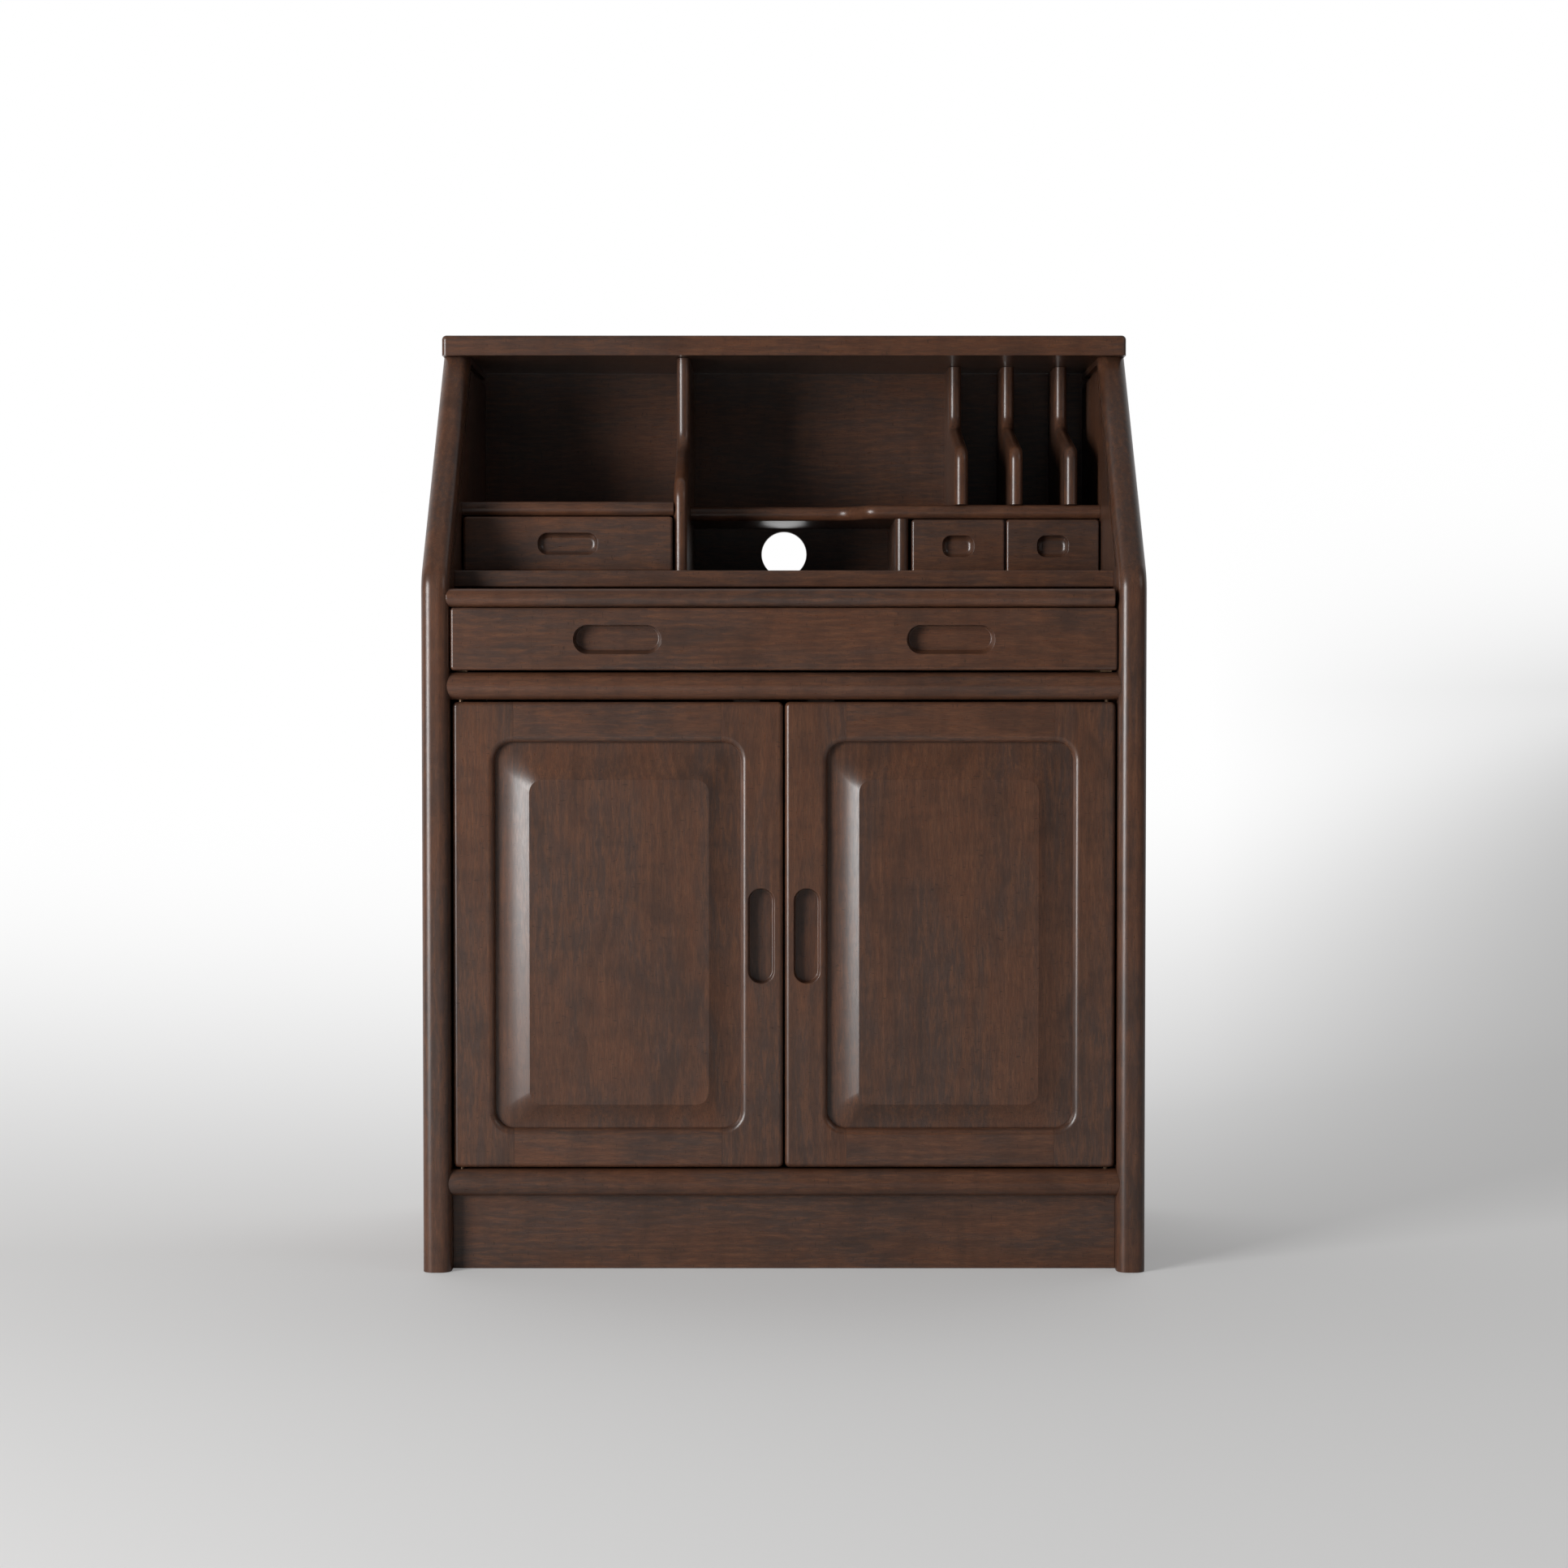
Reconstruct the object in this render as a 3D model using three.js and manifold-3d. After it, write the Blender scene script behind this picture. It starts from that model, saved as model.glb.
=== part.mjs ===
import * as THREE from "three";
import Module from "manifold-3d";

const wasm = await Module();
wasm.setup();

// A writing desk with a low two-door cabinet, a wide drawer, a pull-out writing slide and an open
// pigeonhole hutch between two shaped sides. Millimetres; x to the right, y is the distance behind
// the foremost plane until the finished group is centred, z up.

// Overall size.
const WIDTH = 770;
const DEPTH = 430;
const HEIGHT = 1019;
const GAP = 0.3; // clearance between two pieces that bear on each other

// Shaped sides.
const SIDE = 30; // thickness
const INNER = WIDTH / 2 - SIDE; // x of a side's inner face
const CLEAR = INNER - GAP; // x reached by a board fitted between the sides
const SIDE_ROUND = 11.4; // round-over of both front edges
const SIDE_TOP = 996;
const SLOPE_START = 741.3; // height where the upright front edge would turn into the slope
const SLOPE_RUN = 0.8815; // backward run of the slope per unit of height
const KNEE_RADIUS = 45;
const SLOPE_ANGLE = Math.atan(SLOPE_RUN);

// Empty curtain track cut into each side's inner face.
const TRACK_INSET = 17.4; // from the sloping front edge, square to it
const TRACK_WIDTH = 8;
const TRACK_TOP = 989;
const TRACK_END = 752;
const TRACK_CUT = 6; // depth into the side

// Top board.
const TOP_FRONT = 211;
const TOP_ROUND = 5;

// Back panels.
const BACK_FACE = 412;
const BACK_PANEL = 12;
const BACK_STOP = BACK_FACE - GAP;
const CABLE_RADIUS = 26.6;
const CABLE_HEIGHT = 781.8;

// Desk floor and writing slide.
const FLOOR_TOP = 749;
const FLOOR_UNDER = 731;
const FLOOR_FRONT = 58;
const SLIDE_LOW = 708.1;
const SLIDE_HIGH = 728;
const SLIDE_NOSE = 3;
const SLIDE_LIP = 21; // front to back
const SLIDE_ROUND = 9.3;
const SLIDE_UNDER = 710.2; // underside of the board, which runs on the drawer kickers
const SLIDE_SHIFT = -3.6; // the slide rests to the left within its side play
const SLIDE_REACH = 351; // half the width of the board
const SLIDE_LIP_REACH = 354.6;
const SLIDE_BACK = 400;

// Rails, decks and plinth.
const RAIL_NOSE = 4;
const RAIL_BACK = 50;
const RAIL_ROUND = 14.2; // the rails' noses are nearly half round
const UPPER_RAIL = [610, 639.3];
const LOWER_RAIL = [79.6, 108.5];
const DECK = 18; // thickness of the horizontal panels behind the rails
const PLINTH_FRONT = 25;
const PLINTH_BOARD = 18;

// Wide drawer.
const WIDE = { reach: 353.9, low: 641.3, high: 707.6, front: 6, face: 20, round: 3 };
const WIDE_BOX = { outer: 350, side: 12, low: 639.6, high: 699, back: 386, bottom: 648, ply: 6 };
const WIDE_PULL = {
  x: 177, z: 673.9, width: 93.2, height: 30.7, depth: 14,
  slope: { side: 2.5, under: 4, over: 1 }, // how far the recess's walls run inwards
};
const KICKER = { inner: 341, low: 700.5, front: 60, back: 400 };

// Doors, given for the right-hand door; the left-hand door is its mirror image.
const DOOR = { meet: 1, hinge: 353, low: 110.5, high: 607.7, front: 12, back: 32, round: 3.5 };
const OPENING = { x0: 46.5, x1: 308, z0: 152.3, z1: 564.4, corner: 19 };
const FIELD = { x0: 80, x1: 271.3, z0: 177.8, z1: 524.8, corner: 14, front: 13.4 };
const THUMB = 7; // rounded inner edge of the frame
const STILE_SEAM = 20; // how far the stiles' ends reach past the opening's upright edges
const PANEL_EDGE = { grow: 6.5, front: 21.4, back: 26.4 }; // panel rim held in the frame's groove
const PANEL_GROOVE = { grow: 7.5, front: 21, back: 26.8 };
const DOOR_PULL = {
  x: 24.4, z: 358.3, width: 27.2, height: 101, depth: 14,
  slope: { side: 1.2, under: 1.2, over: 1.2 },
};
const PIVOT = { x: 344, y: 20, radius: 3, hole: 3.4, grip: 10, reach: 8 };

// Cabinet interior.
const SHELF = { reach: 352.5, front: 60, back: 405, low: 345, high: 363 };
const PIN = { radius: 2.5, hole: 2.8, out: 9, into: 8, rows: [100, 365] };
const CATCH = { x0: 26, x1: 54, z0: 597, front: 34, back: 49 };
const STRIKE = { x0: 30, x1: 50, z0: 597, z1: 606.5, thick: 1.4 };

// Pigeonholes.
const SHELF_LOW = 812;
const SHELF_HIGH = 828;
const DIVIDER = 15;
const DIVIDER_ROUND = 7;
const SHELF_ROUND = 7.4;
const LEFT_DIVIDER = { x: -113.9, lower: 134, upper: 232, bend0: 829, bend1: 915, bend: 30 };
const LETTER_BEND = { lower: 197, upper: 330, bend0: 878, bend1: 940, bend: 18 };
const LETTER = { first: 199, pitch: 61.5, count: 3 };
const SHORT_DIVIDER = { x: 132, front: 191 };
const LEFT_SHELF_FRONT = 134;
const RIGHT_SHELF = { near: 197, far: 235, jog0: 59, jog1: 105, bend: 20 };
const PARTITION = { x: 248, thick: 4, front: 210 };

// Small drawers behind the desk floor; the inset is each tray's side play.
const SMALL = { low: 750.5, high: 811, face: 15, round: 3, back: 396, wall: 7, floor: 6, drop: 8 };
const SMALL_PULL = { z: 781, height: 24, depth: 9, slope: { side: 1.5, under: 2, over: 1.5 } };
const SMALL_DRAWERS = [
  { name: "left_drawer", x0: -353, x1: -122.6, front: 130, pull: 66, inset: 3 },
  { name: "middle_drawer", x0: 142.9, x1: 247.2, front: 190, pull: 35, inset: 2.5 },
  { name: "right_drawer", x0: 248.8, x1: 353.1, front: 190, pull: 35, inset: 3.5 },
];

const FINISHES = {
  walnut: new THREE.MeshStandardMaterial({ color: 0x5a3a28, roughness: 0.38, metalness: 0 }),
  carcass: new THREE.MeshStandardMaterial({ color: 0x4d3222, roughness: 0.5, metalness: 0 }),
  drawerBox: new THREE.MeshStandardMaterial({ color: 0x8a6a4a, roughness: 0.55, metalness: 0 }),
  brass: new THREE.MeshStandardMaterial({ color: 0xb08d4c, roughness: 0.3, metalness: 1 }),
  steel: new THREE.MeshStandardMaterial({ color: 0x9a9da0, roughness: 0.35, metalness: 1 }),
  catchBody: new THREE.MeshStandardMaterial({ color: 0x3a2a20, roughness: 0.6, metalness: 0 }),
};

// Solids ------------------------------------------------------------------------------------

// Each basis turns a drawing plane (u, v) and its stacking direction into x, y, z.
const FROM_SIDE = new THREE.Matrix4().makeBasis(
  new THREE.Vector3(0, 1, 0), new THREE.Vector3(0, 0, 1), new THREE.Vector3(1, 0, 0));
const FROM_FRONT = new THREE.Matrix4().makeBasis(
  new THREE.Vector3(1, 0, 0), new THREE.Vector3(0, 0, 1), new THREE.Vector3(0, -1, 0));
const FROM_ABOVE = new THREE.Matrix4();

function solidFrom(positions, indices) {
  const mesh = new wasm.Mesh({
    numProp: 3,
    vertProperties: new Float32Array(positions),
    triVerts: new Uint32Array(indices),
  });
  mesh.merge();
  return new wasm.Manifold(mesh);
}

function solid(geometry) {
  const positions = geometry.getAttribute("position").array;
  const count = positions.length / 3;
  const indices = geometry.index ? geometry.index.array : Array.from({ length: count }, (_, i) => i);
  return solidFrom(positions, indices);
}

function box(x0, x1, y0, y1, z0, z1) {
  const geometry = new THREE.BoxGeometry(x1 - x0, y1 - y0, z1 - z0);
  geometry.translate((x0 + x1) / 2, (y0 + y1) / 2, (z0 + z1) / 2);
  return solid(geometry);
}

// Skins a stack of equally long anticlockwise rings of (u, v) points and caps both ends.
function stack(rings, basis) {
  const count = rings[0].points.length;
  const last = (rings.length - 1) * count;
  const cap = THREE.ShapeUtils.triangulateShape(
    rings[0].points.map(([u, v]) => new THREE.Vector2(u, v)), []);
  const positions = rings.flatMap(({ level, points }) => points.flatMap(
    ([u, v]) => new THREE.Vector3(u, v, level).applyMatrix4(basis).toArray()));
  const indices = cap.flatMap(([p, q, r]) => [r, q, p, last + p, last + q, last + r]);
  for (let start = 0; start < last; start += count) {
    for (let i = 0; i < count; i += 1) {
      const a = start + i;
      const b = start + ((i + 1) % count);
      indices.push(a, b, b + count, a, b + count, a + count);
    }
  }
  return solidFrom(positions, indices);
}

// Steps of a quarter round-over, from the upright edge (inset 0) to the face (inset = radius).
function quarter(radius, steps) {
  return Array.from({ length: steps + 1 }, (_, i) => {
    const angle = (i / steps) * (Math.PI / 2);
    return { inset: radius * (1 - Math.cos(angle)), drop: radius * (1 - Math.sin(angle)) };
  });
}

// The corner-rounded rectangle u0..u1, v0..v1, drawn in by an inset.
function rectangle([u0, u1, v0, v1], corner, inset = 0, steps = 4) {
  const radius = corner - inset;
  const centres = [[u1 - corner, v1 - corner], [u0 + corner, v1 - corner],
    [u0 + corner, v0 + corner], [u1 - corner, v0 + corner]];
  return centres.flatMap(([cu, cv], turn) => Array.from({ length: steps + 1 }, (_, i) => {
    const angle = (turn + i / steps) * (Math.PI / 2);
    return [cu + radius * Math.cos(angle), cv + radius * Math.sin(angle)];
  }));
}

// A slab with square far edges whose one long edge follows a path and is rounded on both sides.
// The material lies to the right of the path; the two far corners close the outline.
function edgedSlab(path, far, low, high, round, basis) {
  const normals = path.map((_, i) => {
    const [u0, v0] = path[Math.max(i - 1, 0)];
    const [u1, v1] = path[Math.min(i + 1, path.length - 1)];
    const length = Math.hypot(u1 - u0, v1 - v0);
    return [(v1 - v0) / length, (u0 - u1) / length];
  });
  const ring = (inset, level) => ({
    level,
    points: [
      ...path.map(([u, v], i) => [u + inset * normals[i][0], v + inset * normals[i][1]]),
      ...far,
    ].reverse(),
  });
  const turns = quarter(round, 4);
  return stack([
    ...turns.toReversed().map(({ inset, drop }) => ring(inset, low + drop)),
    ...turns.map(({ inset, drop }) => ring(inset, high - drop)),
  ], basis);
}

// A rectangular slab u0..u1, v0..v1 with the edges of its upper face rounded.
function softSlab(limits, low, high, round, basis) {
  const corner = round + 0.5;
  return stack([
    { level: low, points: rectangle(limits, corner) },
    ...quarter(round, 3).map(({ inset, drop }) => (
      { level: high - drop, points: rectangle(limits, corner, inset) })),
  ], basis);
}

// A round-ended finger recess, open towards the front of a face at y. Its floor is smaller than
// its rim, because the walls slope.
function pullRecess({ x, z, width, height, depth, slope, corner }, y) {
  const outline = (side, under, over) => rectangle([
    x - width / 2 + side, x + width / 2 - side, z - height / 2 + under, z + height / 2 - over,
  ], corner - side);
  return stack([
    { level: -(y + depth), points: outline(slope.side, slope.under, slope.over) },
    { level: -y, points: outline(0, 0, 0) },
    { level: -(y - 1), points: outline(0, 0, 0) },
  ], FROM_FRONT);
}

// A level board with its front arrises rounded.
function board(x0, x1, y0, y1, z0, z1, round) {
  const shape = new THREE.Shape();
  shape.moveTo(y1, z0);
  shape.lineTo(y1, z1);
  shape.absarc(y0 + round, z1 - round, round, Math.PI / 2, Math.PI, false);
  shape.absarc(y0 + round, z0 + round, round, Math.PI, 1.5 * Math.PI, false);
  const points = shape.getPoints(4).map((point) => [point.x, point.y]);
  return stack([{ level: x0, points }, { level: x1, points }], FROM_SIDE);
}

function rod(x, y, z0, z1, radius) {
  const geometry = new THREE.CylinderGeometry(radius, radius, z1 - z0, 12);
  geometry.rotateX(Math.PI / 2);
  geometry.translate(x, y, (z0 + z1) / 2);
  return solid(geometry);
}

function crossRod(x0, x1, y, z, radius) {
  const geometry = new THREE.CylinderGeometry(radius, radius, x1 - x0, 12);
  geometry.rotateZ(Math.PI / 2);
  geometry.translate((x0 + x1) / 2, y, z);
  return solid(geometry);
}

function mirrored(piece) {
  return piece.mirror([1, 0, 0]);
}

// Finished pieces ---------------------------------------------------------------------------

const desk = new THREE.Group();
desk.name = "roll_top_desk";

function add(name, piece, finish) {
  const { vertProperties, triVerts } = piece.getMesh();
  const geometry = new THREE.BufferGeometry();
  geometry.setAttribute("position", new THREE.BufferAttribute(new Float32Array(vertProperties), 3));
  geometry.setIndex(Array.from(triVerts));
  geometry.translate(0, -DEPTH / 2, 0);
  const flat = geometry.toNonIndexed();
  flat.computeVertexNormals();
  const mesh = new THREE.Mesh(flat, finish);
  mesh.name = name;
  desk.add(mesh);
}

function addPair(name, piece, finish) {
  add(`right_${name}`, piece, finish);
  add(`left_${name}`, mirrored(piece), finish);
}

// Sides ---------------------------------------------------------------------------------------

function slopeAt(z, inset = 0) {
  return (z - SLOPE_START) * SLOPE_RUN + inset / Math.cos(SLOPE_ANGLE);
}

function sidePath() {
  const beyond = 2 * SIDE;
  const tangent = KNEE_RADIUS * Math.tan(SLOPE_ANGLE / 2);
  const steps = 6;
  const knee = Array.from({ length: steps + 1 }, (_, i) => {
    const angle = SLOPE_ANGLE * (i / steps);
    return [KNEE_RADIUS * (1 - Math.cos(angle)), SLOPE_START - tangent + KNEE_RADIUS * Math.sin(angle)];
  });
  return [[0, -beyond], ...knee, [slopeAt(SIDE_TOP + beyond), SIDE_TOP + beyond]];
}

function trackCut() {
  const low = TRACK_TOP - TRACK_WIDTH;
  const inner = TRACK_INSET + TRACK_WIDTH;
  const points = [
    [slopeAt(TRACK_END, TRACK_INSET), TRACK_END],
    [slopeAt(TRACK_END, inner), TRACK_END],
    [slopeAt(low, inner), low],
    [BACK_FACE, low],
    [BACK_FACE, TRACK_TOP],
    [slopeAt(TRACK_TOP, TRACK_INSET), TRACK_TOP],
  ];
  return stack([{ level: INNER - 1, points }, { level: INNER + TRACK_CUT, points }], FROM_SIDE);
}

function rightSide() {
  const beyond = 2 * SIDE;
  const far = [[DEPTH + beyond, SIDE_TOP + beyond], [DEPTH + beyond, -beyond]];
  let side = edgedSlab(sidePath(), far, INNER, WIDTH / 2, SIDE_ROUND, FROM_SIDE);
  side = side.intersect(box(INNER - 1, WIDTH / 2 + 1, -1, DEPTH, 0, SIDE_TOP));
  side = side.subtract(trackCut());
  for (const y of PIN.rows) {
    side = side.subtract(crossRod(INNER - 1, INNER + PIN.into + 1, y, pinHeight(), PIN.hole));
  }
  return side;
}

function topBoard() {
  const reach = WIDTH / 2;
  const low = SIDE_TOP + GAP;
  const limits = [-reach, reach, TOP_FRONT, DEPTH + 4 * TOP_ROUND];
  const slab = softSlab(limits, low, HEIGHT, TOP_ROUND, FROM_ABOVE);
  return slab.intersect(box(-reach - 1, reach + 1, TOP_FRONT - 1, DEPTH, low - 1, HEIGHT + 1));
}

// Fixed boards ----------------------------------------------------------------------------------

// Trims both ends of a board to the sides' inner faces and their front round-overs.
function scribed(piece, low, high) {
  const points = [
    [CLEAR, DEPTH],
    ...quarter(SIDE_ROUND + GAP, 5).map(({ inset, drop }) => [CLEAR + inset, drop - GAP]),
    [WIDTH, -GAP],
    [WIDTH, DEPTH],
  ];
  const end = stack([{ level: low - 1, points }, { level: high + 1, points }], FROM_ABOVE);
  return piece.subtract(end).subtract(mirrored(end));
}

function frontRail([low, high]) {
  const reach = INNER + SIDE_ROUND;
  return scribed(board(-reach, reach, RAIL_NOSE, RAIL_BACK, low, high, RAIL_ROUND), low, high);
}

function withPivotHoles(rail, z0, z1) {
  const hole = rod(PIVOT.x, PIVOT.y, z0, z1, PIVOT.hole);
  return rail.subtract(hole).subtract(mirrored(hole));
}

function addCarcass() {
  addPair("side_panel", rightSide(), FINISHES.walnut);
  add("top_board", topBoard(), FINISHES.walnut);
  add("desk_floor", board(-CLEAR, CLEAR, FLOOR_FRONT, BACK_STOP, FLOOR_UNDER, FLOOR_TOP, 2), FINISHES.walnut);

  const upperEnd = UPPER_RAIL[0] + PIVOT.reach + GAP;
  const lowerEnd = LOWER_RAIL[1] - PIVOT.reach - GAP;
  const upperRail = withPivotHoles(frontRail(UPPER_RAIL), UPPER_RAIL[0] - 1, upperEnd);
  const lowerRail = withPivotHoles(frontRail(LOWER_RAIL), lowerEnd, LOWER_RAIL[1] + 1);
  add("upper_front_rail", upperRail, FINISHES.walnut);
  add("lower_front_rail", lowerRail, FINISHES.walnut);

  const deckFront = RAIL_BACK + GAP;
  add("drawer_deck",
    box(-CLEAR, CLEAR, deckFront, BACK_STOP, UPPER_RAIL[1] - DECK, UPPER_RAIL[1]), FINISHES.carcass);
  add("cabinet_floor",
    box(-CLEAR, CLEAR, deckFront, BACK_STOP, LOWER_RAIL[1] - DECK, LOWER_RAIL[1]), FINISHES.carcass);
  addPair("drawer_kicker",
    box(KICKER.inner, CLEAR, KICKER.front, KICKER.back, KICKER.low, SLIDE_UNDER - GAP), FINISHES.carcass);
}

function addPlinth() {
  const underFloor = LOWER_RAIL[1] - DECK - GAP;
  const boardBack = PLINTH_FRONT + PLINTH_BOARD;
  const rearFront = BACK_STOP - PLINTH_BOARD;
  add("plinth_board",
    box(-CLEAR, CLEAR, PLINTH_FRONT, boardBack, 0, LOWER_RAIL[0] - GAP), FINISHES.walnut);
  add("rear_plinth_board",
    box(-CLEAR, CLEAR, rearFront, BACK_STOP, 0, underFloor), FINISHES.carcass);
  add("middle_bearer",
    box(-PLINTH_BOARD / 2, PLINTH_BOARD / 2, RAIL_BACK + GAP, rearFront - GAP, 0, underFloor),
    FINISHES.carcass);
}

function addBack() {
  const seam = FLOOR_UNDER;
  const behind = BACK_FACE + BACK_PANEL;
  const hole = new THREE.CylinderGeometry(CABLE_RADIUS, CABLE_RADIUS, 4 * BACK_PANEL, 32);
  hole.translate(0, behind, CABLE_HEIGHT);
  const upper = box(-CLEAR, CLEAR, BACK_FACE, behind, seam + GAP, SIDE_TOP - GAP);
  add("upper_back_panel", upper.subtract(solid(hole)), FINISHES.walnut);
  add("lower_back_panel", box(-CLEAR, CLEAR, BACK_FACE, behind, LOWER_RAIL[0], seam), FINISHES.carcass);
}

// Cabinet interior ------------------------------------------------------------------------------

function pinHeight() {
  return SHELF.low - GAP - PIN.radius;
}

function addShelf() {
  add("cabinet_shelf",
    board(-SHELF.reach, SHELF.reach, SHELF.front, SHELF.back, SHELF.low, SHELF.high, 2), FINISHES.carcass);
  PIN.rows.forEach((y, row) => {
    const pin = crossRod(INNER - PIN.out, INNER + PIN.into, y, pinHeight(), PIN.radius);
    addPair(`shelf_pin_${row ? "rear" : "front"}`, pin, FINISHES.brass);
  });
  addPair("door_catch",
    box(CATCH.x0, CATCH.x1, CATCH.front, CATCH.back, CATCH.z0, UPPER_RAIL[0] - GAP), FINISHES.catchBody);
}

// Pigeonholes -----------------------------------------------------------------------------------

// A soft S of two equal arcs and the straight between them, leaving and arriving in one direction:
// it crosses by `run` while it advances by `rise`.
function softS(run, rise, radius) {
  const steps = 5;
  let low = 0;
  let high = 1.5;
  while (high - low > 1e-6) {
    const turn = (low + high) / 2;
    const straight = (rise - 2 * radius * Math.sin(turn)) / Math.cos(turn);
    const across = 2 * radius * (1 - Math.cos(turn)) + straight * Math.sin(turn);
    if (across < run) low = turn;
    else high = turn;
  }
  const arc = Array.from({ length: steps + 1 }, (_, i) => {
    const angle = low * (i / steps);
    return [radius * (1 - Math.cos(angle)), radius * Math.sin(angle)];
  });
  return [...arc, ...arc.toReversed().map(([across, along]) => [run - across, rise - along])];
}

// An upright board whose front edge steps back in an S from the lower to the upper depth.
function curvedDivider(x, low, { lower, upper, bend0, bend1, bend }) {
  const beyond = 2 * DIVIDER;
  const top = SIDE_TOP + beyond;
  const curve = softS(upper - lower, bend1 - bend0, bend);
  const path = [
    [lower, low - beyond], ...curve.map(([across, along]) => [lower + across, bend0 + along]),
    [upper, top],
  ];
  const far = [[BACK_STOP + beyond, top], [BACK_STOP + beyond, low - beyond]];
  const blank = edgedSlab(path, far, x - DIVIDER / 2, x + DIVIDER / 2, DIVIDER_ROUND, FROM_SIDE);
  return blank.intersect(box(x - DIVIDER, x + DIVIDER, 0, BACK_STOP, low + GAP, SIDE_TOP - GAP));
}

function straightDivider(x, front, low, high) {
  const beyond = 2 * DIVIDER;
  const path = [[front, low - beyond], [front, high + beyond]];
  const far = [[BACK_STOP + beyond, high + beyond], [BACK_STOP + beyond, low - beyond]];
  const blank = edgedSlab(path, far, x - DIVIDER / 2, x + DIVIDER / 2, DIVIDER_ROUND, FROM_SIDE);
  return blank.intersect(box(x - DIVIDER, x + DIVIDER, 0, BACK_STOP, low + GAP, high - GAP));
}

function jogShelf(x0) {
  const { near, far, jog0, jog1, bend } = RIGHT_SHELF;
  const beyond = 2 * SIDE;
  const curve = softS(far - near, jog1 - jog0, bend);
  const path = [
    [INNER + beyond, near], ...curve.map(([across, along]) => [jog1 - along, near + across]),
    [x0 - beyond, far],
  ];
  const corners = [[x0 - beyond, BACK_STOP + beyond], [INNER + beyond, BACK_STOP + beyond]];
  const blank = edgedSlab(path, corners, SHELF_LOW, SHELF_HIGH, SHELF_ROUND, FROM_ABOVE);
  return blank.intersect(box(x0, CLEAR, 0, BACK_STOP, SHELF_LOW - 1, SHELF_HIGH + 1));
}

function addPigeonholes() {
  const side = DIVIDER / 2 + GAP;
  add("left_divider", curvedDivider(LEFT_DIVIDER.x, FLOOR_TOP, LEFT_DIVIDER), FINISHES.walnut);
  add("left_shelf",
    board(-CLEAR, LEFT_DIVIDER.x - side, LEFT_SHELF_FRONT, BACK_STOP, SHELF_LOW, SHELF_HIGH, SHELF_ROUND),
    FINISHES.walnut);
  add("right_shelf", jogShelf(LEFT_DIVIDER.x + side), FINISHES.walnut);
  for (let i = 0; i < LETTER.count; i += 1) {
    const x = LETTER.first + i * LETTER.pitch;
    add(`letter_divider_${i + 1}`, curvedDivider(x, SHELF_HIGH, LETTER_BEND), FINISHES.walnut);
  }
  add("short_divider",
    straightDivider(SHORT_DIVIDER.x, SHORT_DIVIDER.front, FLOOR_TOP, SHELF_LOW), FINISHES.walnut);
  const half = PARTITION.thick / 2;
  add("drawer_partition",
    box(PARTITION.x - half, PARTITION.x + half, PARTITION.front, BACK_STOP, FLOOR_TOP + GAP, SHELF_LOW - GAP),
    FINISHES.carcass);
}

// Drawers -----------------------------------------------------------------------------------------

function drawerFront(x0, x1, y0, y1, z0, z1, round) {
  return softSlab([x0, x1, z0, z1], -y1, -y0, round, FROM_FRONT);
}

function addSmallDrawer({ name, x0, x1, front, pull, inset }) {
  const back = front + SMALL.face;
  const recess = {
    ...SMALL_PULL, x: (x0 + x1) / 2, width: pull,
    corner: Math.min(SMALL_PULL.height / 2 - 0.5, pull / 3.2),
  };
  const face = drawerFront(x0, x1, front, back, SMALL.low, SMALL.high, SMALL.round);
  add(`${name}_front`, face.subtract(pullRecess(recess, front)), FINISHES.walnut);

  const outer = box(
    x0 + inset, x1 - inset, back + GAP, SMALL.back, FLOOR_TOP + GAP, SMALL.high - SMALL.drop);
  const hollow = box(
    x0 + inset + SMALL.wall, x1 - inset - SMALL.wall,
    back + GAP + SMALL.wall, SMALL.back - SMALL.wall, SMALL.low + SMALL.floor, SMALL.high);
  add(`${name}_tray`, outer.subtract(hollow), FINISHES.drawerBox);
}

function addWideDrawer() {
  const { outer, side, low, high, back, bottom, ply } = WIDE_BOX;
  const faceBack = WIDE.front + WIDE.face;
  const inner = outer - side;
  const rebate = side / 2;
  const groove = box(
    -inner - rebate, inner + rebate, faceBack - rebate, back + 1, bottom - GAP, bottom + ply + GAP);

  let face = drawerFront(-WIDE.reach, WIDE.reach, WIDE.front, faceBack, WIDE.low, WIDE.high, WIDE.round);
  for (const hand of [-1, 1]) {
    const recess = { ...WIDE_PULL, x: hand * WIDE_PULL.x, corner: WIDE_PULL.height / 2 - 0.2 };
    face = face.subtract(pullRecess(recess, WIDE.front));
  }
  add("wide_drawer_front", face.subtract(groove), FINISHES.walnut);
  addPair("wide_drawer_side",
    box(inner, outer, faceBack + GAP, back, low, high).subtract(groove), FINISHES.drawerBox);
  add("wide_drawer_back",
    box(-inner + GAP, inner - GAP, back - side, back, bottom + ply + 2 * GAP, high), FINISHES.drawerBox);
  add("wide_drawer_bottom",
    box(-inner - rebate + GAP, inner + rebate - GAP, faceBack - rebate + GAP, back, bottom, bottom + ply),
    FINISHES.drawerBox);
}

function addWritingSlide() {
  const lip = board(
    SLIDE_SHIFT - SLIDE_LIP_REACH, SLIDE_SHIFT + SLIDE_LIP_REACH, SLIDE_NOSE, SLIDE_NOSE + SLIDE_LIP,
    SLIDE_LOW, SLIDE_HIGH, SLIDE_ROUND);
  add("slide_lipping", scribed(lip, SLIDE_LOW, SLIDE_HIGH), FINISHES.walnut);
  add("slide_board", box(
    SLIDE_SHIFT - SLIDE_REACH, SLIDE_SHIFT + SLIDE_REACH, SLIDE_NOSE + SLIDE_LIP + GAP, SLIDE_BACK,
    SLIDE_UNDER, SLIDE_HIGH), FINISHES.walnut);
}

// Doors -------------------------------------------------------------------------------------------

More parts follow.
